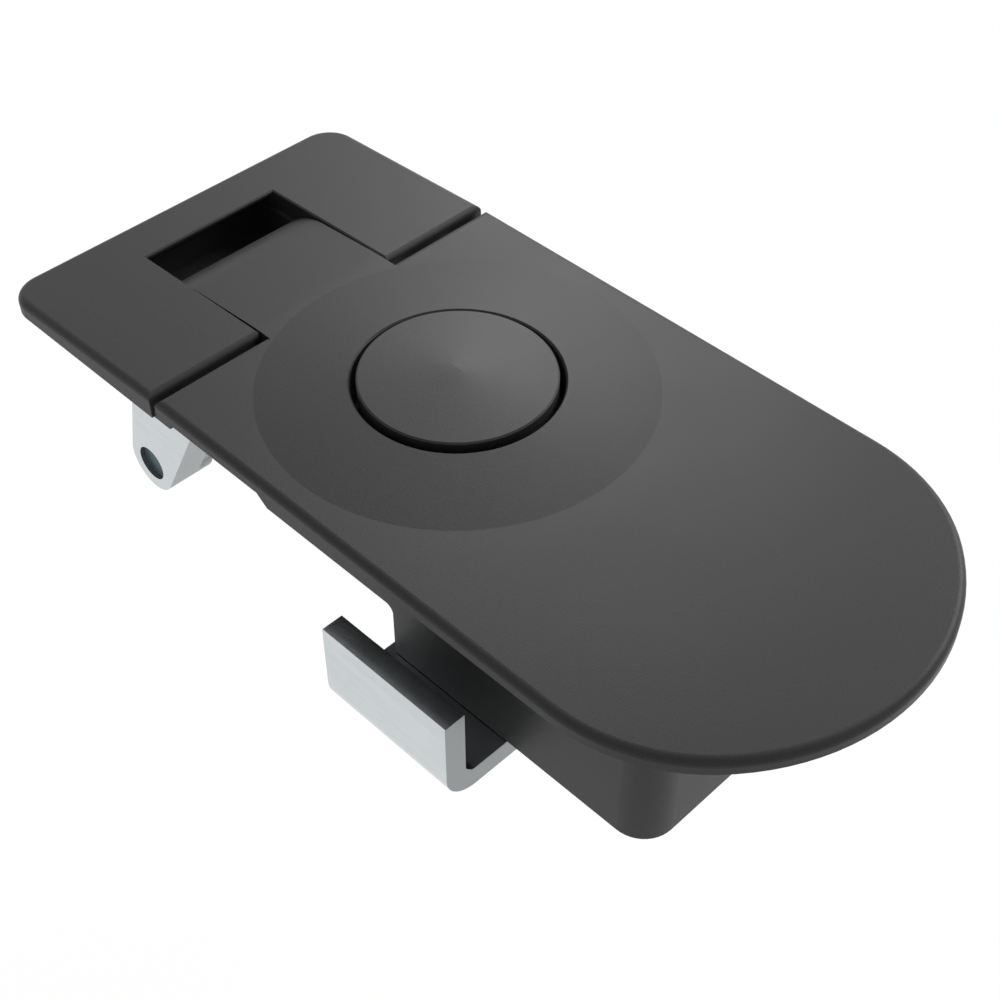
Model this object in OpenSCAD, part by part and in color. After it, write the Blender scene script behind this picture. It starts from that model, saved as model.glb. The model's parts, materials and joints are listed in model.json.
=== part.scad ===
// Flush compression latch for a panel door, in millimetres.
// A lever plate and a fixed faceplate lie flush. Lifting the lever turns a crank, which draws
// a slide; the slide's rack turns the hook's sleeve, and a cam tube lowers the hook as it turns.
// Origin: centre of the round dome, on the plane of the faceplate's top. +X to the rounded end, +Z outwards.

/* [Faceplate] */
// Width of the faceplate and of the lever plate
plate_w = 56; // [54:0.5:60]
// Thickness of the faceplate
plate_t = 2; // [1.8:0.1:2.2]
// Distance from the dome centre to the faceplate's edge at the lever
plate_left = 23.5; // [23:0.25:24]
// Distance from the dome centre to where the rounded end starts
plate_straight = 41.7; // [38:0.1:50]
// Length of the rounded end
end_reach = 25; // [24:0.25:27]
// Radius of the rounded end's two side arcs
end_side_r = 23; // [21:0.25:24]
// Rounding of the top edges
edge_r = 1; // [0.6:0.1:1.2]

/* [Dome and button] */
// Radius of the shallow dome round the button
dome_r = 24.7; // [23:0.1:24.8]
// Height of the dome at the button's pocket
dome_h = 1; // [0.6:0.1:1.2]
// Radius of the push button
button_r = 12.3; // [11:0.1:13]
// Ring gap round the push button
button_gap = 0.8; // [0.5:0.05:1]
// Height of the push button
button_h = 3.4; // [3:0.1:3.6]
// Wall of the push button's cup
button_wall = 1.5; // [1.2:0.1:2]
// How far the button's rim stands above the dome's
button_rise = 0.6; // [0.3:0.1:0.8]
// Height of the button's crown above its rim
button_crown = 1; // [0.5:0.1:1.2]
// Depth of the cup's ceiling below the faceplate's top
button_ceiling = 2; // [1.8:0.1:2.2]
// Travel of the push button
button_travel = 1.5; // [1:0.1:1.7]
// Radius of the push button's stem
stem_r = 3; // [2.5:0.1:3.4]

/* [Lever plate] */
// Gap between the lever plate and the faceplate
lever_gap = 1; // [0.9:0.1:1.2]
// Length of the lever plate
lever_len = 31.6; // [31:0.2:36]
// Depth of the lever plate's underside
lever_depth = 3.3; // [3.1:0.1:3.5]
// Slope of the lever plate's top, in degrees
lever_slope = 2.17; // [0:0.1:3]
// Radius of the lever plate's free corners, seen from above
lever_corner_r = 4.5; // [3:0.25:6]
// Width of the finger notch
notch_w = 21.6; // [20:0.1:22]
// Length of the finger notch
notch_len = 23.9; // [22:0.1:24.5]
// Chamfer round the finger notch
notch_chamfer = 0.2; // [0.1:0.05:0.3]
// Angle through which the lever opens, in degrees
lever_open = 45; // [40:1:45]

/* [Housing] */
// Wall of the housing
wall = 2; // [1.8:0.1:2.2]
// Width of the housing behind the faceplate
box_w = 44.8; // [44.4:0.2:45.6]
// Start of the deep box
box_left = 11.9; // [11.5:0.1:12.1]
// End of the deep box
box_right = 51.75; // [51:0.25:54]
// Depth of the deep box
box_depth = 21.25; // [21:0.25:22]
// Radius of the deep box's upright corners
box_corner_r = 4.25; // [4:0.25:6]
// Depth of the shallow channel
channel_depth = 13.3; // [13.2:0.1:13.4]
// Start of the shallow channel's floor
channel_left = -11.05; // [-11.5:0.05:-10.5]
// Slope of the channel's end, in degrees
channel_slope = 38; // [36:1:42]
// Thickness of the base plate
base_t = 1.6; // [1.4:0.1:1.8]

/* [Finger scoop] */
// Clearance between the scoop and the notch, each side
scoop_clear = 0.2; // [0.15:0.05:0.4]
// Wall of the scoop
scoop_wall = 1.8; // [1.4:0.1:2]
// Flat length of the scoop's tongue past the faceplate
tongue_len = 14; // [13:0.5:15]
// Slope of the tongue, in degrees
tongue_slope = 3.75; // [2:0.25:4]
// Radius of the scoop's fall
scoop_r = 10.5; // [10:0.5:12]
// Depth of the scoop's floor
scoop_depth = 8.4; // [7.5:0.1:9]
// Length of the scoop past the faceplate
scoop_len = 28.5; // [27.5:0.25:29]

/* [Hinge and crank] */
// Distance from the faceplate's edge to the hinge
hinge_back = 4; // [3.8:0.1:4.2]
// Depth of the hinge
hinge_depth = 3; // [2.9:0.1:3.1]
// Diameter of the hinge pins
hinge_pin_d = 3; // [2.6:0.1:3.2]
// Length of one hinge pin
hinge_pin_len = 10; // [8:0.5:10]
// Radius of the hinge knuckles
knuckle_r = 2.9; // [2.6:0.1:3]
// Distance of the crank pin behind the hinge
crank_back = 9.5; // [9:0.1:10]
// Drop of the crank pin below the hinge
crank_drop = 20.14; // [19.8:0.1:20.5]
// Diameter of the crank pins
crank_pin_d = 5; // [4.4:0.1:5.2]
// Radius of the crank arm's nose
nose_r = 4.2; // [3.9:0.1:4.5]
// Width of one crank arm
arm_w = 7; // [6:0.1:7]
// Width of the crank arm's thick cheek
cheek_w = 4.8; // [4:0.1:5.5]
// Thickness of the crank arm's foot
foot_t = 2.5; // [2:0.1:3]
// Reach of the crank arm's foot past the arm
foot_len = 11; // [10:0.5:11.5]

/* [Draw slide] */
// Thickness of the slide
slide_t = 2.4; // [2.2:0.1:2.5]
// Depth of the slide's top face
slide_depth = 7.2; // [7.1:0.05:7.3]
// Thickness of the slide's fork ears
ear_t = 2.5; // [2.2:0.1:2.6]
// Teeth of the full pinion
pinion_teeth = 14; // [13:1:14]
// Backlash of the rack
backlash = 0.14; // [0.1:0.02:0.2]

/* [Hook] */
// Distance of the hook's post from the dome centre
post_x = 20.6; // [20.2:0.1:21]
// Width of the hook
hook_w = 20.1; // [18:0.1:20.5]
// Thickness of the hook's strip
hook_t = 3; // [2.6:0.1:3.2]
// Reach of the hook from its post
hook_reach = 31.8; // [31.4:0.1:34]
// Height of the hook's upturned arm above its base
hook_rise = 10.9; // [9:0.1:11]
// Inner bend radius of the hook
hook_bend_r = 1.5; // [1:0.1:2.5]
// Diameter of the hook's post
post_d = 6; // [5.6:0.1:6]
// Diameter of the post's threaded end
post_end_d = 5; // [4.6:0.1:5]
// Travel of the hook as it turns away
hook_drop = 11.4; // [11.3:0.05:11.5]
// Angle through which the hook turns, in degrees
hook_turn = 90; // [85:1:90]
// Diameter of the cross pin
cross_pin_d = 2.2; // [1.8:0.1:2.2]

/* [Fasteners] */
// Nominal radius of the small screws
screw_r = 1.25; // [1:0.05:1.3]
// Radius of the mounting threads, tapping size
mount_hole_r = 2.1; // [1.9:0.05:2.1]
// Depth of the mounting threads
mount_hole_len = 12; // [8:0.5:14]
// Distance between the mounting threads
mount_spacing = 22; // [21:0.5:23]

/* [Hidden] */
$fn = 96;

// Clearances
slip = 0.04;        // a shaft in its bore, on the radius
seat = 0.02;        // a fixed fastener in its hole, on the radius
run_gap = 0.15;     // two faces that slide past each other
part_gap = 0.3;     // moving pieces side by side
over = 1;           // how far a cutter reaches past what it cuts

// Faceplate
half_w = plate_w / 2;
end_offset = half_w - end_side_r;
end_tip_r = (pow(end_reach, 2) + pow(end_offset, 2) - pow(end_side_r, 2))
    / (2 * (end_reach - end_side_r));
end_tip_x = plate_straight + end_reach - end_tip_r;
end_angle = atan2(end_offset, plate_straight - end_tip_x);
end_chamfer_r = edge_r;

// Button pocket
pocket_r = button_r + button_gap;
pocket_wall = 1.2;
pocket_chamfer = 0.25;
pocket_floor = button_h + button_travel + 0.3;
pocket_depth = slide_depth - 0.2;
guide_r = stem_r + 1.6;
guide_depth = pocket_depth + 1.2;
stem_depth = slide_depth + slide_t;
clip_t = 0.6;
clip_r = stem_r + 1.4;
clip_groove = 0.5;
clip_top = guide_depth + 0.1;
spring_wire = 0.5;
spring_r = 7;
spring_turns = 2;

// Lever plate
lever_right = -plate_left - lever_gap;
lever_left = lever_right - lever_len;
lever_rise = 0.1;
lip_len = 3.5;
lip_clear = 0.15;
lip_inner = box_w / 2 + 0.5;
lip_r = 0.5;
lip_inset = 0.3;
relief_depth = 0.2;
relief_clear = 0.4;
lip_edge = 1.1;
finger_undercut = 3.2;
undercut_in = 0.4;

// Hinge and crank
hinge_x = -plate_left - hinge_back;
hinge_z = -hinge_depth;
crank_x = hinge_x - crank_back;
crank_z = hinge_z - crank_drop;
arm_outer = box_w / 2;
arm_inner = arm_outer - arm_w;
slide_half = arm_inner - part_gap;
knuckle_in = notch_w / 2 + 0.15;
knuckle_out = arm_inner - 0.2;
channel_r = hinge_pin_d / 2 + 0.1;
pin_inner = knuckle_out - hinge_pin_len;
arm_lean_left = 14;
arm_lean_right = 28.1;
arm_top = -lever_depth;
web_step = 0.4;
lever_screw_r = 1.5;
lever_screw_head_r = 2.25;
lever_screw_head_h = 1.8;
lever_screw_in = 1.9;
lever_screw_pitch = 5;
lever_screw_edge = 2.5;

// Crank travel, which is the slide's stroke
stroke = (crank_back * cos(lever_open) + crank_drop * sin(lever_open)) - crank_back;
crank_low = crank_back * sin(lever_open) - crank_drop * cos(lever_open);
pin_top_open = hinge_z + crank_low + crank_pin_d / 2;
stroke_bulge = max([for (a = [0:1:lever_open])
    crank_back * cos(a) + crank_drop * sin(a) - crank_back - stroke * a / lever_open]);

// Slide
slide_top = -slide_depth;
slide_bottom = slide_top - slide_t;
fork_slot_right = crank_x + crank_pin_d / 2 + 0.08;
fork_slot_left = crank_x - crank_pin_d / 2 - 0.08 - stroke_bulge;
fork_prong = 2.4;
fork_bottom = crank_z - 1.2;
fork_slot_top = pin_top_open + 0.2;
fork_top = fork_slot_top + 1.6;
web_left = hinge_x - 0.5;

// Rack and pinion
pitch_r = stroke / (hook_turn * PI / 180);
gear_module = 2 * pitch_r / pinion_teeth;
pressure = 25;
tip_r = pitch_r + 0.9 * gear_module;
root_r = pitch_r - 1.15 * gear_module;
base_r = pitch_r * cos(pressure);
tooth_pitch = PI * gear_module;
tooth_step = 360 / pinion_teeth;
rack_tip = 0.8 * gear_module;
rack_root = 1.12 * gear_module;
first_tooth = -1;
last_tooth = 4;
window_r = tip_r + 0.4;
slide_tail = 5.5;
slide_right = post_x + stroke + slide_tail;

// Post, sleeve and cam tube
post_r = post_d / 2;
cam_in_r = post_r + slip;
cam_out_r = cam_in_r + 1.56;
sleeve_in_r = cam_out_r + slip + 0.04;
sleeve_out_r = root_r;
cross_pin_r = cross_pin_d / 2;
cross_pin_half = sleeve_out_r - 0.1;
pin_angle = 55;
pin_z = -5.5;
base_top = -box_depth + base_t;
flange_t = 1;
flange_r = 8.6;
flange_half = post_x - box_left - wall - part_gap;
cam_top = -plate_t - 1.6;
cam_slot_w = cross_pin_d / sin(atan2(hook_drop, cam_out_r * hook_turn * PI / 180)) + 0.4;
cam_slot_bottom = pin_z - hook_drop - cross_pin_r - 0.3;
sleeve_top = -plate_t - 1.2;
sleeve_bottom = base_top + flange_t + 0.1;
sleeve_slot_w = cross_pin_d + 0.16;
sleeve_ring = 0.8;
post_top = sleeve_top - 0.2;
cam_screw_r = 0.8;
cam_screw_at = 6.6;

// Hook
hook_top = -box_depth - run_gap;
hook_bottom = hook_top - hook_t;
hook_arm_top = hook_top + hook_rise;
hook_out_r = hook_bend_r + hook_t;
flat_half = post_end_d / 2 - 0.4;
washer_r = 5;
washer_t = 1;
nut_flats = 8;
nut_t = 4;
post_tail = 1;

// Housing inside
inner_w = box_w - 2 * wall;
channel_floor = -channel_depth + 1.6;
skirt_len = 6;
channel_end = channel_left - skirt_len;
rail_in = slide_half - 2;
rail_out = slide_half + part_gap / 2;
rail_wall = 2;
rib_w = 1.8;
base_screw_y = inner_w / 2 - 2.6;
base_screw_head_r = 2.1;
base_screw_boss_r = 2.4;
base_screw_x = [box_left + wall + 2.3, box_right - wall - 3.15];
base_screw_len = 7;
mount_boss_r = mount_hole_r + 2;
mount_x = box_right - wall - mount_boss_r - 0.35;

// Catch
leaf_t = 0.5;
leaf_w = 6;
leaf_top = slide_bottom - 0.5;
leaf_fix = stem_r + 4.6;
tooth_left = -13;
tooth_t = 0.6;
tooth_top = slide_bottom + 1;
leaf_pad_r = 3;
catch_head_r = 2.2;
catch_head_h = 1.1;

// A flat XZ profile drawn along Y, from y0 to y1
module along_y(y0, y1) {
    translate([0, y1, 0]) rotate([90, 0, 0]) linear_extrude(y1 - y0) children();
}

// A flat YZ profile drawn along X, from x0 to x1
module along_x(x0, x1) {
    translate([x0, 0, 0]) rotate([90, 0, 90]) linear_extrude(x1 - x0) children();
}

// A disc from depth t up to 0 with its top edge rounded
module rounded_disc(r, t, f) {
    rotate_extrude() {
        translate([0, -t]) square([r - f, t]);
        translate([0, -t]) square([r, t - f]);
        intersection() {
            translate([r - f, -f]) circle(f);
            translate([0, -t]) square([r, t]);
        }
    }
}

// A flat section from x0 to x1, from depth t up to 0, with its top corners rounded
module rounded_section(x0, x1, t, f) {
    translate([x0, -t]) square([x1 - x0, t - f]);
    translate([x0 + f, -t]) square([x1 - x0 - 2 * f, t]);
    for (x = [x0 + f, x1 - f]) translate([x, -f]) circle(f);
}

// A tube standing from z0 to z1
module tube(r_in, r_out, z0, z1) {
    difference() {
        translate([0, 0, z0]) cylinder(r = r_out, h = z1 - z0);
        translate([0, 0, z0 - over]) cylinder(r = r_in, h = z1 - z0 + 2 * over);
    }
}

// A box between two corners
module block(low, high) {
    translate(low) cube(high - low);
}

// Two copies, on both sides of the XZ plane
module both_sides() {
    children();
    mirror([0, 1, 0]) children();
}

// A countersunk screw, its head flush with z0 and its shank rising
module countersunk(r, head_r, len) {
    cylinder(r1 = head_r, r2 = r, h = head_r - r);
    cylinder(r = r, h = len);
}

// The room that a countersunk screw takes
module countersink(r, head_r, len) {
    translate([0, 0, -over]) cylinder(r = head_r + seat, h = over);
    cylinder(r1 = head_r + seat, r2 = r + seat, h = head_r - r);
    cylinder(r = r + seat, h = len);
}

// FACEPLATE AND HOUSING

// Shallow relief under the faceplate's lever end, clear of the lever's lips and arms
module lever_relief() {
    low = -plate_t - over;
    high = -plate_t + relief_depth;
    block(
        [-plate_left - over, -half_w - over, low],
        [lever_right + lip_len + relief_clear, half_w + over, high]
    );
    block([-plate_left - over, -box_w / 2, low], [channel_end, box_w / 2, high]);
}

module faceplate() {
    difference() {
        faceplate_slab();
        lever_relief();
    }
}

module faceplate_slab() {
    intersection() {
        union() {
            along_x(-plate_left - over, plate_straight)
                rounded_section(-half_w, half_w, plate_t, edge_r);
            for (y = [-end_offset, end_offset]) {
                translate([plate_straight, y, 0]) rounded_disc(end_side_r, plate_t, edge_r);
            }
            intersection() {
                translate([end_tip_x, 0, 0]) rounded_disc(end_tip_r, plate_t, end_chamfer_r);
                translate([end_tip_x, 0, -plate_t]) linear_extrude(plate_t) polygon([
                    [0, 0],
                    [half_w, -half_w * tan(end_angle)],
                    [plate_w, 0],
                    [half_w, half_w * tan(end_angle)]
                ]);
            }
        }
        along_y(-half_w, half_w)
            rounded_section(-plate_left, plate_straight + end_reach + over, plate_t, edge_r);
    }
}

// Top line of the tongue and scoop: flat, a soft fold, the slope, then the fall
tongue_fold = 2.5;
tongue_end = -plate_left - tongue_len;
fold_r = tongue_fold / sin(tongue_slope);
fold_x = -plate_left - 1.2;
slope_start = fold_x - tongue_fold;
slope_drop = fold_r * (1 - cos(tongue_slope));
tongue_drop = slope_drop + (slope_start - tongue_end) * tan(tongue_slope);
fall_x = tongue_end + scoop_r * sin(tongue_slope);
fall_z = -tongue_drop - scoop_r * cos(tongue_slope);
scoop_left = -plate_left - scoop_len;
scoop_rim = -lever_depth - 0.15;
cheek_out = notch_w / 2 + 1.5;
cheek_right = hinge_x - knuckle_r - 0.6;

function fold_line() = [for (a = [0:0.75:tongue_slope])
    [fold_x - fold_r * sin(a), -fold_r * (1 - cos(a))]];
function fall_line() = [for (a = [tongue_slope:2:50])
    [fall_x - scoop_r * sin(a), fall_z + scoop_r * cos(a)]];
fall_end = [fall_x - scoop_r * sin(50), fall_z + scoop_r * cos(50)];
floor_x = fall_end[0] - (fall_end[1] + scoop_depth) / tan(50);

module scoop_profile() {
    difference() {
        union() {
            polygon(concat(
                [[-plate_left + over, -plate_t], [-plate_left + over, 0]],
                fold_line(), fall_line(),
                [[floor_x, -scoop_depth], [scoop_left, -scoop_depth],
                 [scoop_left, scoop_rim], [scoop_left - scoop_wall, scoop_rim],
                 [scoop_left - scoop_wall, -scoop_depth - scoop_wall],
                 [floor_x, -scoop_depth - scoop_wall],
                 [fall_end[0] + scoop_wall * sin(50) * 0.4, fall_end[1] - scoop_wall * 1.2],
                 [tongue_end, -tongue_drop - scoop_wall * 1.2],
                 [hinge_x, -plate_t - 1]]
            ));
            translate([hinge_x, hinge_z]) circle(knuckle_r);
        }
        translate([hinge_x, hinge_z]) circle(hinge_pin_d / 2 + seat);
        // Nothing of the knuckle stands above the tongue
        polygon(concat(
            [[-plate_left, 0]], fold_line(),
            [[tongue_end, -tongue_drop], [tongue_end, over], [-plate_left, over]]
        ));
    }
}

module scoop() {
    half = notch_w / 2 - scoop_clear;
    along_y(-half, half) scoop_profile();
    // Cheeks that close the pocket below the lever plate
    both_sides() along_y(half - over / 2, cheek_out) polygon([
        [scoop_left - scoop_wall, scoop_rim],
        [scoop_left - scoop_wall, -scoop_depth - scoop_wall],
        [floor_x, -scoop_depth - scoop_wall],
        [fall_end[0], fall_end[1] - scoop_wall],
        [cheek_right, fall_z + scoop_r - scoop_wall * 1.6],
        [cheek_right, scoop_rim]
    ]);
}

// Side view of the housing behind the faceplate
module housing_side() {
    polygon([
        [channel_end, -plate_t / 2],
        [channel_end, -channel_depth + (channel_left - channel_end) * tan(channel_slope)],
        [channel_left, -channel_depth],
        [box_left, -channel_depth],
        [box_left, -box_depth],
        [box_right, -box_depth],
        [box_right, -plate_t / 2]
    ]);
    // Small fillet where the channel meets the deep box
    difference() {
        translate([box_left - 1.2, -channel_depth - 1.2]) square(1.3);
        translate([box_left - 1.2, -channel_depth - 1.2]) circle(1.2);
    }
}

module box_plan(x0, x1, w, r) {
    translate([x0, -w / 2]) square([x1 - x0 - r, w]);
    translate([x0, -w / 2 + r]) square([x1 - x0, w - 2 * r]);
    for (y = [-w / 2 + r, w / 2 - r]) translate([x1 - r, y]) circle(r);
}

module housing_shell() {
    difference() {
        intersection() {
            along_y(-box_w / 2, box_w / 2) housing_side();
            translate([0, 0, -box_depth])
                linear_extrude(box_depth) box_plan(channel_end, box_right, box_w, box_corner_r);
        }
        // Channel, open towards the lever
        block(
            [channel_end - over, -inner_w / 2, channel_floor],
            [box_left + wall, inner_w / 2, -plate_t]
        );
        // Deep box, open below
        translate([0, 0, -box_depth - over]) linear_extrude(box_depth + over - plate_t)
            box_plan(box_left + wall, box_right - wall, inner_w, box_corner_r - wall);
    }
}

// Posts inside the deep box, for the base plate's screws and for the mounting screws
module housing_bosses() {
    for (x = base_screw_x) both_sides() {
        translate([x, base_screw_y, base_top])
            cylinder(r = base_screw_boss_r, h = -base_top - plate_t / 2);
        block([x - 1, base_screw_y, base_top], [x + 1, inner_w / 2 + wall / 2, -plate_t / 2]);
    }
    both_sides() {
        translate([mount_x, mount_spacing / 2, -box_depth])
            cylinder(r = mount_boss_r, h = box_depth - plate_t / 2);
        block(
            [mount_x, mount_spacing / 2 - 1, base_top],
            [box_right - wall / 2, mount_spacing / 2 + 1, -plate_t / 2]
        );
    }
}

// Rails on the channel's floor that carry and guide the slide
module slide_rails() {
    both_sides() {
        block(
            [channel_left, rail_in, channel_floor - over / 2],
            [box_left, rail_out + rail_wall, slide_bottom - 0.06]
        );
        block(
            [channel_left, rail_out, channel_floor - over / 2],
            [box_left, rail_out + rail_wall, slide_top]
        );
    }
}

module button_pocket() {
    translate([0, 0, -pocket_depth])
        cylinder(r = pocket_r + pocket_wall, h = pocket_depth - plate_t / 2);
    translate([0, 0, -guide_depth]) cylinder(r = guide_r, h = guide_depth - pocket_floor);
}

// Shallow cone round the button's pocket, rooted in the faceplate
module dome() {
    foot = seat * (dome_r - pocket_r) / dome_h;
    rotate_extrude() polygon([
        [0, -plate_t / 2], [dome_r + foot, -plate_t / 2], [dome_r + foot, -seat],
        [pocket_r - part_gap, dome_h * (dome_r - pocket_r + part_gap) / (dome_r - pocket_r)],
        [0, dome_h]
    ]);
}

module pocket_cut() {
    translate([0, 0, -pocket_floor]) cylinder(r = pocket_r, h = pocket_floor + dome_h + over);
    translate([0, 0, dome_h - pocket_chamfer])
        cylinder(r1 = pocket_r, r2 = pocket_r + pocket_chamfer + 0.02, h = pocket_chamfer + 0.02);
    translate([0, 0, -guide_depth - over])
        cylinder(r = stem_r + slip, h = guide_depth);
}

module housing() {
    color([0.29, 0.29, 0.30]) difference() {
        union() {
            faceplate();
            dome();
            scoop();
            housing_shell();
            housing_bosses();
            slide_rails();
            button_pocket();
            // Ribs that carry the tongue
            for (y = [-notch_w / 2 + scoop_clear, notch_w / 2 - scoop_clear - rib_w]) {
                block([hinge_x, y, hinge_z - knuckle_r], [-pocket_r, y + rib_w, -plate_t / 2]);
            }
            // Pad under the catch leaf
            translate([leaf_fix, 0, channel_floor - over / 2])
                cylinder(r = leaf_pad_r, h = leaf_top - leaf_t - channel_floor + over / 2);
        }
        pocket_cut();
        translate([hinge_x, 0, hinge_z]) rotate([90, 0, 0])
            cylinder(r = hinge_pin_d / 2 + seat, h = notch_w + 2 * over, center = true);
        for (x = base_screw_x) both_sides() {
            translate([x, base_screw_y, base_top - over])
                cylinder(r = screw_r + seat, h = base_screw_len + over);
        }
        both_sides() translate([mount_x, mount_spacing / 2, -box_depth - over])
            cylinder(r = mount_hole_r, h = mount_hole_len + over);
        translate([leaf_fix, 0, -channel_depth - over])
            cylinder(r = screw_r + seat, h = channel_depth + leaf_top + over);
    }
}

module base_outline() {
    box_plan(box_left + wall + seat * 2, box_right - wall - seat * 2,
        inner_w - seat * 4, box_corner_r - wall);
}

module base_plate() {
    color([0.25, 0.25, 0.26]) difference() {
        translate([0, 0, -box_depth]) linear_extrude(base_t) base_outline();
        translate([post_x, 0, -box_depth - over]) cylinder(r = cam_out_r + seat, h = base_t + 2 * over);
        both_sides() translate([mount_x, mount_spacing / 2, -box_depth - over])
            cylinder(r = mount_boss_r + run_gap, h = base_t + 2 * over);
        both_sides() block(
            [mount_x, mount_spacing / 2 - 1 - run_gap, -box_depth - over],
            [box_right, mount_spacing / 2 + 1 + run_gap, -box_depth + base_t + over]
        );
        for (x = base_screw_x) both_sides() {
            translate([x, base_screw_y, -box_depth])
                countersink(screw_r, base_screw_head_r, base_t + over);
        }
        both_sides() translate([post_x, cam_screw_at, -box_depth])
            countersink(cam_screw_r, cam_screw_r * 1.9, base_t + over);
    }
}

module base_screws() {
    color([0.55, 0.56, 0.57]) for (x = base_screw_x) both_sides() {
        translate([x, base_screw_y, -box_depth])
            countersunk(screw_r, base_screw_head_r, base_t + base_screw_len - 0.5);
    }
}

// HINGE

module hinge_pins() {
    color([0.70, 0.71, 0.72]) both_sides() {
        translate([hinge_x, knuckle_out, hinge_z]) rotate([90, 0, 0])
            cylinder(r = hinge_pin_d / 2, h = hinge_pin_len);
    }
}

// LEVER

// Lever plate outline with its top edges rounded, top at height 0
module lever_slab(t) {
    along_x(lever_left + lever_corner_r, lever_right + over)
        rounded_section(-half_w, half_w, t, edge_r);
    along_y(-half_w + lever_corner_r, half_w - lever_corner_r)
        rounded_section(lever_left, lever_right + 2 * over, t, edge_r);
    both_sides() translate([lever_left + lever_corner_r, half_w - lever_corner_r, 0])
        rounded_disc(lever_corner_r, t, edge_r);
}

module lever_plate() {
    color([0.29, 0.29, 0.30]) difference() {
        union() {
            intersection() {
                translate([lever_right, 0, lever_rise]) rotate([0, -lever_slope, 0])
                    translate([-lever_right, 0, 0]) lever_slab(lever_depth + 2);
                along_y(-half_w - over, half_w + over) union() {
                    translate([lever_left - over, -lever_depth])
                        square([lever_len + over - edge_r, lever_depth + 2]);
                    translate([lever_left - over, -lever_depth])
                        square([lever_len + over, lever_depth + lever_rise - edge_r]);
                    translate([lever_right - edge_r, lever_rise - edge_r]) circle(edge_r);
                }
            }
            // Lips that reach under the faceplate outside the housing
            both_sides() along_y(lip_inner, half_w - lip_inset) union() {
                translate([lever_right - over, -lever_depth])
                    square([lip_len + over - lip_r, lever_depth - plate_t - lip_clear]);
                translate([lever_right - over, -lever_depth + lip_r])
                    square([lip_len + over, lever_depth - plate_t - lip_clear - lip_r]);
                translate([lever_right + lip_len - lip_r, -lever_depth + lip_r]) circle(lip_r);
            }
            // Hinge knuckles
            both_sides() translate([hinge_x, knuckle_out, hinge_z]) rotate([90, 0, 0])
                cylinder(r = knuckle_r, h = knuckle_out - knuckle_in);
        }
        finger_notch();
        // Hinge bores, then the open channels through which the pins go in
        both_sides() translate([hinge_x, knuckle_out + over, hinge_z]) rotate([90, 0, 0])
            cylinder(r = hinge_pin_d / 2 + slip, h = 2 * over + knuckle_out - knuckle_in);
        both_sides() along_y(knuckle_out, knuckle_out + hinge_pin_len + 0.3) union() {
            translate([hinge_x, hinge_z]) circle(channel_r);
            translate([hinge_x - channel_r, -lever_depth - over])
                square([2 * channel_r, over + lever_depth - hinge_depth]);
        }
        for (i = [0, 1]) both_sides() lever_screw_place(i) {
            cylinder(r = lever_screw_r + seat, h = lever_screw_in + 0.1);
        }
    }
}

// Finger notch, bevelled along its three top edges and open towards the faceplate
module finger_notch() {
    c = notch_chamfer;
    half = notch_w / 2;
    low = -2 * lever_depth;
    translate([lever_right, 0, lever_rise]) rotate([0, -lever_slope, 0]) intersection() {
        along_x(-lever_len, 2 * over) polygon([
            [-half, low], [half, low], [half, -c], [half + 2 * c, c], [-half - 2 * c, c], [-half, -c]
        ]);
        along_y(-half_w, half_w) polygon([
            [-notch_len, low], [over, low], [over, c], [-notch_len - 2 * c, c], [-notch_len, -c]
        ]);
    }
    // The free bar is hollowed behind the notch, so that a finger hooks under its edge
    along_y(undercut_in - half, half - undercut_in) polygon([
        [lever_right - notch_len + over, -c - lip_edge], [lever_right - notch_len, -c - lip_edge],
        [lever_right - notch_len - finger_undercut, -lever_depth - over],
        [lever_right - notch_len + over, -lever_depth - over]
    ]);
}

// Under the lever plate, where the crank arms' screws go in
module lever_screw_place(i) {
    translate([foot_left + lever_screw_edge + i * lever_screw_pitch, (arm_outer + arm_inner) / 2, -lever_depth])
        children();
}

// Crank arm, from the hinge down to the pin, on the +Y side
arm_root_left = crank_x - nose_r / cos(arm_lean_left)
    + (arm_top - crank_z) * tan(arm_lean_left);
arm_root_right = crank_x + nose_r / cos(arm_lean_right)
    + (arm_top - crank_z) * tan(arm_lean_right);
foot_left = arm_root_left - foot_len;

module arm_profile(recess) {
    c = [crank_x, crank_z];
    left = c + nose_r * [-cos(arm_lean_left), sin(arm_lean_left)];
    right = c + nose_r * [cos(arm_lean_right), -sin(arm_lean_right)];
    translate(c) circle(nose_r);
    polygon([
        left, c - [0, nose_r * 0.5], right - [recess, 0],
        [arm_root_right - recess, arm_top], [arm_root_left, arm_top]
    ]);
}

module crank_arm() {
    difference() {
        union() {
            along_y(arm_outer - cheek_w, arm_outer) arm_profile(0);
            along_y(arm_inner, arm_outer - cheek_w) arm_profile(web_step);
            block(
                [foot_left, arm_inner, arm_top - foot_t],
                [arm_root_left + over, arm_outer, arm_top]
            );
        }
        translate([crank_x, arm_outer + over, crank_z]) rotate([90, 0, 0])
            cylinder(r = crank_pin_d / 2 + seat, h = arm_w + 2 * over);
        for (i = [0, 1]) lever_screw_place(i) {
            translate([0, 0, -foot_t - over]) cylinder(r = lever_screw_r + 0.1, h = foot_t + 2 * over);
        }
    }
}

module crank_arm_front() {
    color([0.76, 0.78, 0.79]) mirror([0, 1, 0]) crank_arm();
}

module crank_arm_rear() {
    color([0.76, 0.78, 0.79]) crank_arm();
}

module crank_pins() {
    recess = 0.6;
    dish = 9;
    color([0.62, 0.66, 0.67]) both_sides() difference() {
        translate([crank_x, arm_outer - recess, crank_z]) rotate([90, 0, 0])
            cylinder(r = crank_pin_d / 2, h = arm_w - recess + ear_t + part_gap);
        translate([crank_x, arm_outer - recess + dish - 0.45, crank_z]) sphere(dish);
    }
}

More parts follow.
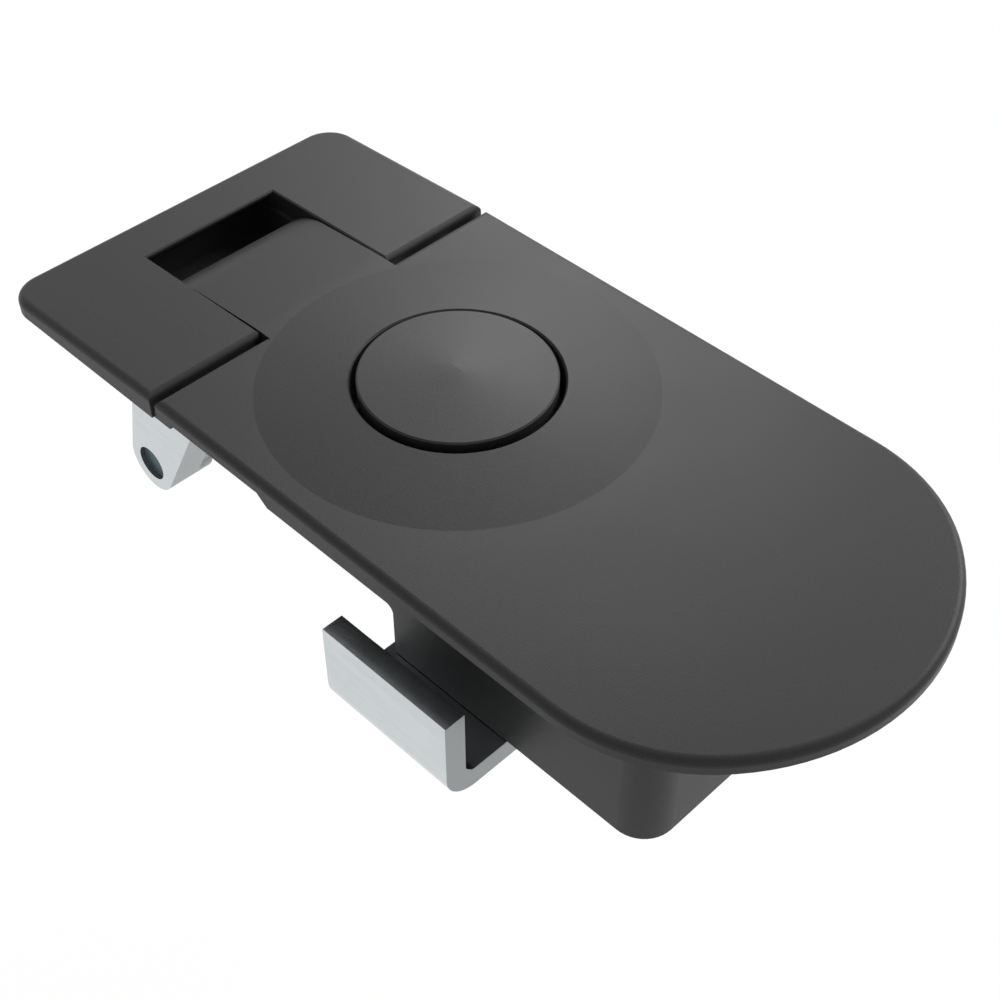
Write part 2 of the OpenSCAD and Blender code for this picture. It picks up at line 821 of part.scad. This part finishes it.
module lever_screws() {
    color([0.62, 0.63, 0.64]) for (i = [0, 1]) both_sides() lever_screw_place(i) {
        difference() {
            translate([0, 0, -foot_t - lever_screw_head_h])
                cylinder(r = lever_screw_head_r, h = lever_screw_head_h);
            translate([0, 0, -foot_t - lever_screw_head_h - over])
                cylinder(r = 1.2, h = over + 1.1, $fn = 6);
        }
        translate([0, 0, -foot_t]) cylinder(r = lever_screw_r, h = foot_t + lever_screw_in);
    }
}

// SLIDE, RACK AND PINION

module rack_tooth() {
    half = tooth_pitch / 4 - backlash / 2;
    polygon([
        [-half - rack_root * tan(pressure), -rack_root - 0.5],
        [half + rack_root * tan(pressure), -rack_root - 0.5],
        [half + rack_root * tan(pressure), -rack_root],
        [half - rack_tip * tan(pressure), rack_tip],
        [-half + rack_tip * tan(pressure), rack_tip],
        [-half - rack_root * tan(pressure), -rack_root]
    ]);
}

module slide_outline() {
    difference() {
        translate([web_left, -slide_half]) square([slide_right - web_left, 2 * slide_half]);
        // Room for the button's guide and the catch screw
        translate([-guide_r - part_gap, -guide_r - part_gap])
            square([post_x + guide_r, 2 * (guide_r + part_gap)]);
        // Room for the pinion, open at the end
        translate([post_x, 0]) circle(window_r);
        translate([post_x, -pitch_r - rack_root]) square([slide_right - post_x + over, window_r + pitch_r + rack_root]);
        // Window of the catch
        translate([tooth_left - 4, -leaf_w / 2 - part_gap])
            square([4 + tooth_t + 0.1, leaf_w + 2 * part_gap]);
    }
    for (k = [first_tooth:last_tooth + 1]) {
        translate([post_x + k * tooth_pitch, -pitch_r]) rack_tooth();
    }
}

module fork_profile() {
    difference() {
        translate([fork_slot_left - fork_prong, fork_bottom])
            square([fork_slot_right - fork_slot_left + 2 * fork_prong, fork_top - fork_bottom]);
        translate([fork_slot_left, fork_bottom - over])
            square([fork_slot_right - fork_slot_left, fork_slot_top - fork_bottom + over]);
    }
    // Brace up to the slide
    polygon([
        [fork_slot_right, slide_top], [web_left + over, slide_top],
        [web_left + over, slide_bottom], [fork_slot_right + fork_prong, slide_bottom - 5],
        [fork_slot_right, slide_bottom - 5]
    ]);
}

module draw_slide() {
    color([0.66, 0.67, 0.68]) {
        translate([0, 0, slide_bottom]) linear_extrude(slide_t) slide_outline();
        both_sides() along_y(slide_half - ear_t, slide_half) fork_profile();
    }
}

function involute(a) = tan(a) * 180 / PI - a;
function tooth_half(r) = (tooth_pitch / 4 - backlash / 4) / pitch_r * 180 / PI
    + involute(pressure) - involute(acos(min(1, base_r / r)));
function polar(r, a) = [r * cos(a), r * sin(a)];

module pinion_tooth(a) {
    steps = [for (i = [0:4]) base_r + (tip_r - base_r) * i / 4];
    polygon(concat(
        [polar(root_r - 0.3, a - tooth_half(base_r))],
        [for (r = steps) polar(r, a - tooth_half(r))],
        [for (i = [4:-1:0]) polar(steps[i], a + tooth_half(steps[i]))],
        [polar(root_r - 0.3, a + tooth_half(base_r))]
    ));
}

module drive_sleeve() {
    color([0.60, 0.60, 0.58]) translate([post_x, 0, 0]) difference() {
        union() {
            tube(sleeve_in_r, sleeve_out_r, sleeve_bottom, sleeve_top);
            difference() {
                translate([0, 0, slide_bottom - 0.1]) linear_extrude(slide_t + 0.2)
                    for (i = [first_tooth:last_tooth]) {
                        pinion_tooth(-90 + (i + 0.5) * tooth_step);
                    }
                translate([0, 0, -box_depth]) cylinder(r = sleeve_in_r, h = box_depth);
            }
        }
        // Upright slots that carry the cross pin round
        rotate(pin_angle) block(
            [-tip_r - over, -sleeve_slot_w / 2, sleeve_bottom - over],
            [tip_r + over, sleeve_slot_w / 2, sleeve_top - sleeve_ring]
        );
    }
}

// HOOK GROUP

module cam_tube() {
    color([0.58, 0.56, 0.50]) translate([post_x, 0, 0]) difference() {
        union() {
            translate([0, 0, -box_depth]) cylinder(r = cam_out_r, h = cam_top + box_depth);
            intersection() {
                translate([0, 0, base_top]) cylinder(r = flange_r, h = flange_t);
                block(
                    [-flange_half, -flange_r, base_top],
                    [flange_half, flange_r, base_top + flange_t]
                );
            }
        }
        translate([0, 0, -box_depth - over]) cylinder(r = cam_in_r, h = box_depth + 2 * over);
        // Helical slots: the angle rises with height as the hook's does
        translate([0, 0, cam_slot_bottom]) rotate(pin_angle + (cam_slot_bottom - pin_z) * hook_turn / hook_drop)
            linear_extrude(
                cam_top + over - cam_slot_bottom,
                twist = -(cam_top + over - cam_slot_bottom) * hook_turn / hook_drop,
                slices = 16
            ) square([2 * cam_out_r + 2 * over, cam_slot_w], center = true);
        both_sides() translate([0, cam_screw_at, base_top - over])
            cylinder(r = cam_screw_r + seat, h = flange_t + 2 * over);
    }
}

module cam_screws() {
    color([0.55, 0.56, 0.57]) both_sides() translate([post_x, cam_screw_at, -box_depth])
        countersunk(cam_screw_r, cam_screw_r * 1.9, base_t + flange_t);
}

module thrust_washer() {
    color([0.75, 0.70, 0.55]) translate([post_x, 0, 0])
        tube(post_r + 0.3, sleeve_out_r, sleeve_top + 0.05, -plate_t - 0.05);
}

module cross_pin() {
    color([0.70, 0.71, 0.72]) translate([post_x, 0, pin_z]) rotate([0, 0, pin_angle]) rotate([0, 90, 0])
        cylinder(r = cross_pin_r, h = 2 * cross_pin_half, center = true);
}

module hook_post() {
    color([0.68, 0.69, 0.70]) translate([post_x, 0, 0]) difference() {
        union() {
            translate([0, 0, hook_top]) cylinder(r = post_r, h = post_top - hook_top);
            intersection() {
                translate([0, 0, hook_bottom - washer_t - nut_t - post_tail])
                    cylinder(r = post_end_d / 2, h = hook_t + washer_t + nut_t + post_tail + over);
                union() {
                    block([-post_r, -flat_half, hook_bottom], [post_r, flat_half, hook_top + over]);
                    translate([0, 0, hook_bottom - washer_t - nut_t - post_tail])
                        cylinder(r = post_end_d / 2 + over, h = washer_t + nut_t + post_tail);
                }
            }
        }
        translate([0, 0, pin_z]) rotate([0, 0, pin_angle]) rotate([0, 90, 0])
            cylinder(r = cross_pin_r + seat, h = 2 * post_r + 2 * over, center = true);
    }
}

module hook() {
    bend_y = -hook_reach + hook_out_r;
    bend_z = hook_bottom + hook_out_r;
    color([0.77, 0.79, 0.80]) difference() {
        union() {
            along_x(post_x - hook_w / 2, post_x + hook_w / 2) union() {
                translate([bend_y, hook_bottom]) square([-bend_y, hook_t]);
                translate([-hook_reach, bend_z]) square([hook_t, hook_arm_top - bend_z]);
                intersection() {
                    difference() {
                        translate([bend_y, bend_z]) circle(hook_out_r);
                        translate([bend_y, bend_z]) circle(hook_bend_r);
                    }
                    translate([bend_y - hook_out_r, bend_z - hook_out_r]) square(hook_out_r);
                }
            }
            translate([post_x, 0, hook_bottom]) cylinder(r = hook_w / 2, h = hook_t);
        }
        translate([post_x, 0, hook_bottom - over]) intersection() {
            cylinder(r = post_end_d / 2 + seat, h = hook_t + 2 * over);
            block([-post_r, -flat_half - seat, 0], [post_r, flat_half + seat, hook_t + 2 * over]);
        }
    }
}

module hook_washer() {
    color([0.74, 0.75, 0.76]) translate([post_x, 0, 0])
        tube(post_end_d / 2 + 0.1, washer_r, hook_bottom - washer_t, hook_bottom);
}

module hook_nut() {
    color([0.70, 0.71, 0.72]) translate([post_x, 0, hook_bottom - washer_t - nut_t]) difference() {
        intersection() {
            cylinder(r = nut_flats / sqrt(3), h = nut_t, $fn = 6);
            cylinder(r1 = nut_flats / 2 + 0.1, r2 = nut_flats / 2 + 0.1 + nut_t, h = nut_t);
        }
        translate([0, 0, -over]) cylinder(r = post_end_d / 2 + seat, h = nut_t + 2 * over);
    }
}

// BUTTON AND CATCH

module push_button() {
    edge = 0.2;
    rim = dome_h + button_rise;
    color([0.30, 0.30, 0.31]) {
        rotate_extrude() polygon([
            [0, rim + button_crown], [button_r - edge, rim], [button_r, rim - edge],
            [button_r, -button_h], [button_r - button_wall, -button_h],
            [button_r - button_wall, -button_ceiling], [0, -button_ceiling]
        ]);
        difference() {
            translate([0, 0, -stem_depth]) cylinder(r = stem_r, h = stem_depth - button_wall);
            translate([0, 0, -clip_top - clip_t - 0.05])
                tube(stem_r - clip_groove, stem_r + over, 0, clip_t + 0.1);
        }
    }
}

module button_clip() {
    color([0.55, 0.56, 0.57]) difference() {
        translate([0, 0, -clip_top - clip_t]) tube(stem_r - clip_groove + seat, clip_r, 0, clip_t);
        // Open side of the clip
        block(
            [0, -stem_r + clip_groove + 0.6, -clip_top - clip_t - over],
            [clip_r + over, stem_r - clip_groove - 0.6, -clip_top + over]
        );
    }
}

// One closed coil of round wire from z0 up to z1
module coil(r, wire, z0, z1, turns) {
    sides = 8;
    rings = turns * 20;
    low = z0 + wire / 2;
    rise = z1 - z0 - wire;
    points = [for (i = [0:rings], j = [0:sides - 1])
        let (a = 360 * turns * i / rings, b = 360 * j / sides, q = r + wire / 2 * cos(b))
        [q * cos(a), q * sin(a), low + rise * i / rings + wire / 2 * sin(b)]];
    walls = [for (i = [0:rings - 1], j = [0:sides - 1])
        [i * sides + j, i * sides + (j + 1) % sides,
         (i + 1) * sides + (j + 1) % sides, (i + 1) * sides + j]];
    first = [for (j = [sides - 1:-1:0]) j];
    last = [for (j = [0:sides - 1]) rings * sides + j];
    polyhedron(points, concat(walls, [first], [last]), convexity = 8);
}

module button_spring() {
    color([0.72, 0.73, 0.74])
        coil(spring_r, spring_wire, -pocket_floor + 0.02, -button_ceiling - 0.02, spring_turns);
}

module catch_leaf() {
    color([0.70, 0.70, 0.66]) difference() {
        union() {
            block(
                [tooth_left, -leaf_w / 2, leaf_top - leaf_t],
                [leaf_fix + leaf_pad_r, leaf_w / 2, leaf_top]
            );
            block([tooth_left, -leaf_w / 2, leaf_top - leaf_t], [tooth_left + tooth_t, leaf_w / 2, tooth_top]);
        }
        translate([leaf_fix, 0, leaf_top - leaf_t - over]) cylinder(r = screw_r + seat, h = leaf_t + 2 * over);
    }
}

module catch_screw() {
    len = leaf_top + channel_depth - 0.4;
    color([0.55, 0.56, 0.57]) translate([leaf_fix, 0, leaf_top]) {
        translate([0, 0, -len]) cylinder(r = screw_r, h = len);
        difference() {
            cylinder(r = catch_head_r, h = catch_head_h);
            block([-catch_head_r, -0.3, catch_head_h - 0.6], [catch_head_r, 0.3, catch_head_h + over]);
        }
    }
}

housing();
base_plate();
base_screws();
hinge_pins();
cam_tube();
cam_screws();
thrust_washer();
button_spring();
catch_leaf();
catch_screw();
lever_plate();
crank_arm_front();
crank_arm_rear();
crank_pins();
lever_screws();
draw_slide();
drive_sleeve();
hook();
hook_post();
cross_pin();
hook_washer();
hook_nut();
push_button();
button_clip();
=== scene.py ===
# %% [markdown]
# # A flush compression latch
# The latch is a small machine: a lever plate and a faceplate lie flush in a door panel, and a
# bright hook grips the frame behind it. Its solids arrive from the CAD model as a fixed frame.
# This lesson gives them light, a camera and real finishes, and models anew the pieces whose
# edges the light plays on: the bent hook and the two crank arms.

import json
import math

import bmesh
import bpy
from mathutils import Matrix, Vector


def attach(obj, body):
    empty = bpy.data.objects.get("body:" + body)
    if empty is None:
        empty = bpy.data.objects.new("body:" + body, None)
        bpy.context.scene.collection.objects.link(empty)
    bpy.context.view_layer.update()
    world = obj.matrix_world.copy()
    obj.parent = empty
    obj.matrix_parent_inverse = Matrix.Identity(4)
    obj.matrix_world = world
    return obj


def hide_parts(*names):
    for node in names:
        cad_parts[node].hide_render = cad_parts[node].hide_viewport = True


MM = 0.001


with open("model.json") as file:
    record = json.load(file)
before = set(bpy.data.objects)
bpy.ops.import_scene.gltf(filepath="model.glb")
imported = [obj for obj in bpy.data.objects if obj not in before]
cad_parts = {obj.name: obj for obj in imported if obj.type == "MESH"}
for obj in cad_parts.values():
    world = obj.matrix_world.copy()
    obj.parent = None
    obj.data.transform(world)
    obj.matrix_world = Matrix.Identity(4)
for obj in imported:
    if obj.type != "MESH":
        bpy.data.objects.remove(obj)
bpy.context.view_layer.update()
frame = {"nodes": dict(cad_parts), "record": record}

# %% [markdown]
# ## The camera
# The photograph looks down at 45 degrees from the front right, with a long lens. Setting the
# place and the angle in numbers is surer here than aiming a Track To constraint, because the
# picture's lines were measured: all three axes of the latch vanish where such a lens puts them.

# %% Camera
camera_data = bpy.data.cameras.new("camera")
camera_data.lens = 60
camera_data.sensor_width = 36
camera = bpy.data.objects.new("camera", camera_data)
camera.location = (0.11144, -0.10426, 0.13266)
camera.rotation_euler = (math.radians(45), 0, math.radians(45))
bpy.context.collection.objects.link(camera)
bpy.context.scene.camera = camera
bpy.context.scene.view_settings.view_transform = "Standard"
print("camera at", [round(v, 3) for v in camera.location])

# %% [markdown]
# ## Writing shaders as sums
# A node tree is easier to read as a formula. One small class wraps a socket and turns +, -, *,
# < and > into Math nodes. Any other node comes from one method, which takes its type, its
# settings and its sockets. Finishes, the floor and the sky are all written with these two.


# %% A socket that can be added, multiplied and compared
class Value:
    def __init__(self, nodes, socket):
        self.nodes = nodes
        self.socket = socket

    def math(self, operation, a, b=0.0):
        return self.nodes.node("ShaderNodeMath", {"operation": operation}, {0: a, 1: b})

    def __add__(self, other):
        return self.math("ADD", self, other)

    __radd__ = __add__

    def __sub__(self, other):
        return self.math("SUBTRACT", self, other)

    def __rsub__(self, other):
        return self.math("SUBTRACT", other, self)

    def __mul__(self, other):
        return self.math("MULTIPLY", self, other)

    __rmul__ = __mul__

    def __gt__(self, other):
        return self.math("GREATER_THAN", self, other)

    def __lt__(self, other):
        return self.math("LESS_THAN", self, other)

    def __abs__(self):
        return self.math("ABSOLUTE", self)


# %% A node tree with one method for its nodes
# A Mix node lists the sockets of every data type: these are the ones for colours.
MIX_A = 6
MIX_B = 7
MIX_RESULT = 2


class Nodes:
    def __init__(self, owner):
        owner.use_nodes = True
        self.tree = owner.node_tree
        self.tree.nodes.clear()

    def plug(self, socket, value):
        if isinstance(value, Value):
            self.tree.links.new(value.socket, socket)
        elif socket.type == "RGBA":
            socket.default_value = (*value, 1)
        else:
            socket.default_value = value

    def node(self, kind, settings=None, sockets=None, out=0):
        made = self.tree.nodes.new(kind)
        for key, value in (settings or {}).items():
            if key == "stops":
                for stop, (at, shade) in zip(made.color_ramp.elements, value):
                    stop.position, stop.color = at, (shade, shade, shade, 1)
            else:
                setattr(made, key, value)
        for key, value in (sockets or {}).items():
            self.plug(made.inputs[key], value)
        return Value(self, made.outputs[out]) if made.outputs else None

    def mix(self, mask, dark, light):
        colours = {"Factor": mask, MIX_A: dark, MIX_B: light}
        return self.node("ShaderNodeMix", {"data_type": "RGBA"}, colours, out=MIX_RESULT)


# %% A finish, which is a material with patterns in the object's own coordinates
class Finish(Nodes):
    def __init__(self, name, constants):
        self.material = bpy.data.materials.new(name)
        super().__init__(self.material)
        self.constants = constants
        self.place = self.node("ShaderNodeTexCoord", out="Object")

    def axis(self, index):
        return self.node("ShaderNodeSeparateXYZ", None, {"Vector": self.place}, out=index)

    def stretched(self, x, y, z):
        return self.node("ShaderNodeMapping", None, {"Vector": self.place, "Scale": (x, y, z)})

    def noise(self, scale, detail=2.0, rough=0.5, at=None):
        sockets = {"Vector": at or self.place, "Scale": scale, "Detail": detail, "Roughness": rough}
        return self.node("ShaderNodeTexNoise", None, sockets)

    def ramp(self, value, low, high):
        """0 below low, 1 above high and a straight slope between them."""
        return self.node("ShaderNodeValToRGB", {"stops": [(low, 0.0), (high, 1.0)]}, {0: value})

    def finish(self, colour, roughness, height, depth):
        """Colour, roughness and a bump whose full height is depth, in millimetres."""
        dent = {"Height": height, "Strength": 1.0, "Distance": depth * MM}
        bump = self.node("ShaderNodeBump", None, dent)
        looks = {"Base Color": colour, "Roughness": roughness, "Normal": bump, **self.constants}
        shader = self.node("ShaderNodeBsdfPrincipled", None, looks)
        self.node("ShaderNodeOutputMaterial", None, {"Surface": shader})
        return self.material


# %% [markdown]
# ## Powder coat
# The plates are sprayed with a fine textured powder. Close by it is a field of tiny soft bumps
# about a quarter of a millimetre apart, which break the light into a grain. Noise at that scale
# feeds the bump and, more faintly, the colour; a second, broad noise stands for handling.


# %% Powder coat
def scaled(colour, factor):
    return tuple(c * factor for c in colour)


def powder_coat(name, grey):
    coat = Finish(name, {"Metallic": 0.0, "IOR": 1.5, "Specular IOR Level": 0.25})
    peel = coat.noise(scale=3600, detail=3, rough=0.6)
    speck = coat.ramp(coat.noise(scale=7000, detail=1), low=0.42, high=0.60)
    cloud = coat.noise(scale=45, detail=3)
    tone = coat.ramp(peel * 0.45 + speck * 0.35 + cloud * 0.2, low=0.3, high=0.7)
    colour = coat.mix(tone, scaled(grey, 0.9), scaled(grey, 1.1))
    roughness = 0.36 + cloud * 0.1 + speck * 0.05
    return coat.finish(colour, roughness, peel * 0.7 + speck * 0.3, depth=0.012)


# %% [markdown]
# ## Plated and turned steel
# The hook and the crank arms are zinc plated: silver grey with a soft cloud in it, and faint
# draw lines along the strip. The shader is a metal whose roughness the clouds and lines vary.
# Where the strip was sheared off, at both ends of the hook, the cut face is rougher, and so are
# the arms' flanks beside their ground outer face; all these faces also get painted shade, a darker
# grey that stands in for the dimmer light on them. Two masks on the object's own X and Y find them.


# %% Plated steel, with draw lines and, where the mask dull_and_shaded says so, a rougher skin with painted shade
METAL = {"Metallic": 1.0}
# Painted shade: the masked faces are darkened to this share of the plating's grey.
CUT_FACE_PAINTED_SHADE = 0.47
DULL_ROUGHNESS = 0.12


def plated(name, grey, lines, rough, streak=0.05, dull_and_shaded=None):
    zinc = Finish(name, METAL)
    drawn = zinc.noise(scale=1.0, detail=3, rough=0.6, at=zinc.stretched(*lines))
    cloud = zinc.noise(scale=160, detail=4, rough=0.6)
    tone = zinc.ramp(cloud * 0.6 + drawn * 0.4, low=0.35, high=0.65)
    colour = zinc.mix(tone, scaled(grey, 0.9), grey)
    roughness = (rough - 0.07) + cloud * 0.1 + drawn * 0.08
    if dull_and_shaded:
        mask = dull_and_shaded(zinc)
        # Painted shade on the masked faces; only the extra roughness below is their own.
        colour = zinc.mix(mask, colour, scaled(grey, CUT_FACE_PAINTED_SHADE))
        roughness = roughness + mask * DULL_ROUGHNESS
    return zinc.finish(colour, roughness, drawn * streak + cloud * 0.1, depth=0.02)


# %% The hook's cut ends and the arms' flanks
hook_x = [corner.co.x for corner in frame["nodes"]["hook"].data.vertices]
arm_y = max(abs(corner.co.y) for corner in frame["nodes"]["crank_arm_front"].data.vertices)
SKIN = 0.03 * MM  # how far below a face its skin still counts
PAST_ENDS = 1 * MM  # how far past the hook's ends the mask looks


# This mask makes these faces rougher and also places their painted shade.
def cut_faces(zinc):
    middle, reach = (min(hook_x) + max(hook_x)) / 2, (max(hook_x) - min(hook_x)) / 2
    x = zinc.axis(0)
    off = abs(x - middle)
    ends = (off > reach - SKIN) * (off < reach + PAST_ENDS)
    flank = (x < 0.0) * (abs(zinc.axis(1)) < arm_y - SKIN)
    return ends + flank


print("hook from", round(min(hook_x) / MM, 2), "to", round(max(hook_x) / MM, 2), "mm in X")


# %% Turned steel, finely grained and clouded
def turned(name, grey, rough):
    steel = Finish(name, METAL)
    fine = steel.noise(scale=3500, detail=2)
    cloud = steel.noise(scale=220, detail=3)
    colour = steel.mix(steel.ramp(cloud, low=0.35, high=0.65), scaled(grey, 0.8), grey)
    return steel.finish(colour, (rough - 0.05) + fine * 0.1, fine, depth=0.008)


# %% [markdown]
# ## Cast, sintered and moulded
# The slide is die cast, so its skin is satin with slow waves. The cam tube and the sleeve are
# sintered: grey, porous and oily. The thrust washer is a natural moulded plastic.


# %% Cast zinc alloy and sintered steel
def cast(name, grey, rough, pores):
    skin = Finish(name, METAL)
    wave = skin.noise(scale=300, detail=3)
    grain = skin.noise(scale=3000, detail=2)
    pore = skin.ramp(grain, low=0.60, high=0.70)
    tone = skin.ramp(wave * 0.6 + grain * 0.4, low=0.35, high=0.65)
    colour = skin.mix(tone, scaled(grey, 0.75), grey)
    return skin.finish(colour, (rough - 0.08) + grain * 0.15, wave * 0.5 - pore * pores, depth=0.02)


# %% Moulded plastic
def moulded(name, tint):
    shell = Finish(name, {"Metallic": 0.0, "IOR": 1.46})
    haze = shell.noise(scale=900, detail=3)
    colour = shell.mix(haze, scaled(tint, 0.92), tint)
    return shell.finish(colour, 0.4 + haze * 0.15, haze, depth=0.01)


# %% [markdown]
# ## One finish for each slot
# The CAD record names a material slot for every piece. A table from slot to finish dresses the
# nodes that keep their CAD shape and the pieces modelled below alike.

# %% Dress the CAD nodes
ALONG_X = (40, 900, 900)
ALONG_Z = (700, 700, 60)
ALL_ROUND = (500, 500, 500)
# Through this mask the zinc's cut ends and flanks get more roughness and painted shade.
bright = {"lines": ALONG_X, "rough": 0.2, "streak": 0.006, "dull_and_shaded": cut_faces}
finishes = {
    "coat": powder_coat("powder_coat_grey", (0.046, 0.046, 0.047)),
    "inner_coat": powder_coat("powder_coat_inner", (0.036, 0.036, 0.037)),
    "button": powder_coat("powder_coat_button", (0.060, 0.060, 0.061)),
    "zinc": plated("bright_zinc", (0.59, 0.625, 0.64), **bright),
    "fastener": plated("fastener_zinc", (0.56, 0.57, 0.58), lines=ALL_ROUND, rough=0.34),
    "spring_steel": plated("spring_steel", (0.58, 0.59, 0.60), lines=ALONG_Z, rough=0.26),
    "pin_steel": turned("turned_steel", (0.10, 0.15, 0.16), rough=0.28),
    "cast_zinc": cast("die_cast", (0.55, 0.56, 0.57), rough=0.42, pores=0.1),
    "sintered": cast("sintered_steel", (0.28, 0.27, 0.26), rough=0.5, pores=0.5),
    "washer": moulded("natural_plastic", (0.62, 0.58, 0.48)),
}
slot_of = {part["node"]: part["material_slot"] for part in frame["record"]["subparts"]}


def dress(piece, slot):
    piece.data.materials.clear()
    piece.data.materials.append(finishes[slot])


for name, node in frame["nodes"].items():
    dress(node, slot_of[name])
print("finishes:", len(finishes))

# %% [markdown]
# ## Broken edges
# The hook is cut from strip and bent, and the crank arms are cut and ground, so none of their
# edges is a knife's: a tumbled edge catches a thin line of light. A bevel could be a modifier,
# but on a copy of the CAD shape it is safer to merge the loose triangles, dissolve the flat ones
# and bevel only the edges that turn sharply, because then the round surfaces keep their facets.

# %% A copy of a CAD node with its edges broken, by a bevel of radius, in millimetres
MERGE = 1e-6
FLAT_ANGLE = math.radians(1.5)
SHARP_ANGLE = math.radians(38)
SMOOTH_ANGLE = math.radians(25)


def broken_edges(node_name, body, radius):
    source = frame["nodes"][node_name]
    shape = bmesh.new()
    shape.from_mesh(source.data)
    bmesh.ops.remove_doubles(shape, verts=shape.verts, dist=MERGE)
    bmesh.ops.dissolve_limit(
        shape, angle_limit=FLAT_ANGLE, use_dissolve_boundaries=False,
        verts=shape.verts, edges=shape.edges,
    )
    sharp = [e for e in shape.edges if e.is_manifold and e.calc_face_angle() > SHARP_ANGLE]
    bmesh.ops.bevel(
        shape, geom=sharp, offset=radius * MM, offset_type="OFFSET", segments=1,
        profile=0.5, affect="EDGES", material=-1, clamp_overlap=True,
    )
    mesh = bpy.data.meshes.new(node_name + "_finished")
    shape.to_mesh(mesh)
    shape.free()
    mesh.shade_smooth()
    mesh.set_sharp_from_angle(angle=SMOOTH_ANGLE)
    piece = bpy.data.objects.new(node_name + "_finished", mesh)
    bpy.context.collection.objects.link(piece)
    dress(piece, slot_of[node_name])
    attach(piece, body)
    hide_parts(node_name)
    print(piece.name, "sharp edges:", len(sharp), "faces:", len(mesh.polygons))


# %% The hook and the two crank arms
broken_edges("hook", "hook", 0.06)
broken_edges("crank_arm_front", "lever", 0.12)
broken_edges("crank_arm_rear", "lever", 0.12)

# %% [markdown]
# ## A white studio
# The photograph has a white ground and hardly any shadow. The floor lies well below the latch,
# and the floor and the sky show white to the camera and to mirrors, while they light the
# object at a plain level. One soft box stands where the plate mirrors the camera, behind the
# lever, and gives the coat its sheen round the dome; a second, farther back, is the key.


# %% Rays that see the ground directly, in a mirror or through a glass
def seen(nodes):
    total = nodes.node("ShaderNodeLightPath", out="Is Camera Ray")
    path = total.socket.node
    for kind in ("Is Glossy Ray", "Is Transmission Ray"):
        total = total.math("MAXIMUM", total, Value(nodes, path.outputs[kind]))
    return total


# %% Floor
FLOOR_Z = -0.075
FLOOR_HALF = 2.5
floor_mesh = bmesh.new()
bmesh.ops.create_grid(floor_mesh, x_segments=1, y_segments=1, size=FLOOR_HALF)
bmesh.ops.translate(floor_mesh, verts=floor_mesh.verts, vec=(0, 0, FLOOR_Z))
floor_data = bpy.data.meshes.new("floor")
floor_mesh.to_mesh(floor_data)
floor_mesh.free()
floor = bpy.data.objects.new("floor", floor_data)
bpy.context.collection.objects.link(floor)
print("floor", round(-FLOOR_Z / MM), "mm below the faceplate's top")

# %% The floor's paper, whose glow is stronger for the rays that see it
LIGHTING_SHARE = 0.45
SEEN_SHARE = 0.93
paper = bpy.data.materials.new("paper")
sheet = Nodes(paper)
matt = sheet.node("ShaderNodeBsdfPrincipled", None, {"Base Color": (0.6, 0.6, 0.6), "Roughness": 0.9})
glow = sheet.node("ShaderNodeEmission", None, {"Strength": 1.06})
levels = {"Value": seen(sheet), "To Min": LIGHTING_SHARE, "To Max": SEEN_SHARE}
share = sheet.node("ShaderNodeMapRange", None, levels)
blend = sheet.node("ShaderNodeMixShader", None, {0: share, 1: matt, 2: glow})
sheet.node("ShaderNodeOutputMaterial", None, {"Surface": blend})
floor.data.materials.append(paper)
print("glow's share:", LIGHTING_SHARE, "as light,", SEEN_SHARE, "when seen")

# %% Sky
SKY_LIGHT = (0.08, 0.08, 0.082)
world = bpy.data.worlds.new("studio")
bpy.context.scene.world = world
sky = Nodes(world)
level = sky.mix(seen(sky), SKY_LIGHT, (1, 1, 1))
background = sky.node("ShaderNodeBackground", None, {"Color": level})
sky.node("ShaderNodeOutputWorld", None, {"Surface": background})
print("sky's level as light:", SKY_LIGHT)


# %% Soft boxes
def soft_box(name, place, aim, size, watts):
    data = bpy.data.lights.new(name, "AREA")
    data.shape = "DISK"
    data.size = size
    data.energy = watts
    lamp = bpy.data.objects.new(name, data)
    lamp.location = place
    lamp.rotation_euler = (Vector(aim) - Vector(place)).to_track_quat("-Z", "Y").to_euler()
    bpy.context.collection.objects.link(lamp)


LATCH = (0.005, 0, 0)
soft_box("sheen", (-0.136, 0.174, 0.18), LATCH, size=0.14, watts=0.31)
soft_box("key", (0.10, 0.45, 0.30), LATCH, size=0.30, watts=1.3)
